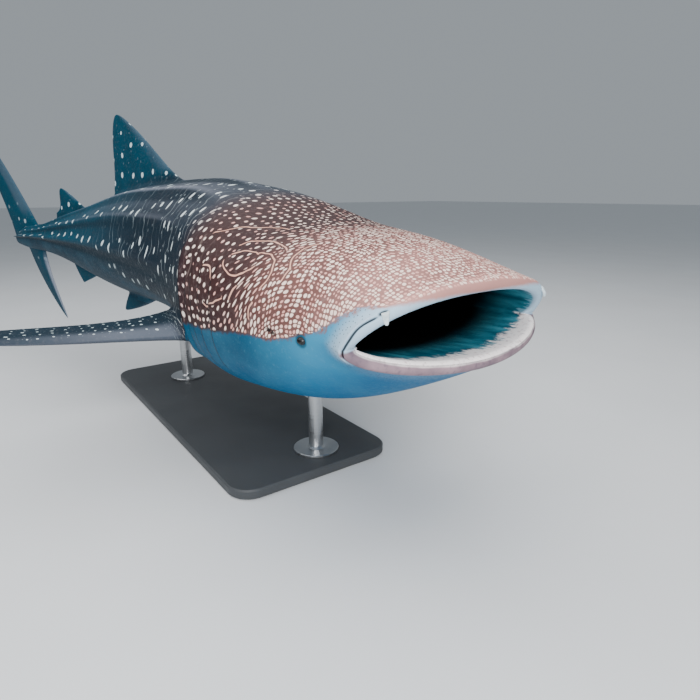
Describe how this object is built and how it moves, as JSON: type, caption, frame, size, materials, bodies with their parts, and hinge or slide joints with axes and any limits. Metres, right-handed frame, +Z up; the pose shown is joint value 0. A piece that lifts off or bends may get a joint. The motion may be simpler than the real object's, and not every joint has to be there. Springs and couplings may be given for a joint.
{
  "type": "whale shark display model",
  "caption": "Life-size whale shark swimming with its mouth open and its tail swung to one side, held level on a flat base by two short rods.",
  "frame": {"origin": "on the floor, at the middle of the underside of the stand's base, under the centre of mass", "axes": "+X towards the animal's head, +Y towards its left side, +Z up"},
  "size_m": [5.2855, 3.0297, 2.09],
  "materials": {
    "skin": "satin",
    "eye": "wet",
    "stand_base": "satin",
    "stand_rods": "brushed"
  },
  "bodies": {
    "root": {"head": "skin", "lower_jaw": "skin", "gill_region": "skin", "torso_front": "skin", "torso_rear": "skin", "tail_stalk": "skin", "tail_fin": "skin", "first_dorsal_fin": "skin", "second_dorsal_fin": "skin", "anal_fin": "skin", "pectoral_fin_left": "skin", "pectoral_fin_right": "skin", "pelvic_fin_left": "skin", "pelvic_fin_right": "skin", "nasal_barbel_left": "skin", "nasal_barbel_right": "skin", "eye_left": "eye", "eye_right": "eye", "stand_base": "stand_base", "stand_rod_front": "stand_rods", "stand_rod_rear": "stand_rods"}
  },
  "joints": []
}
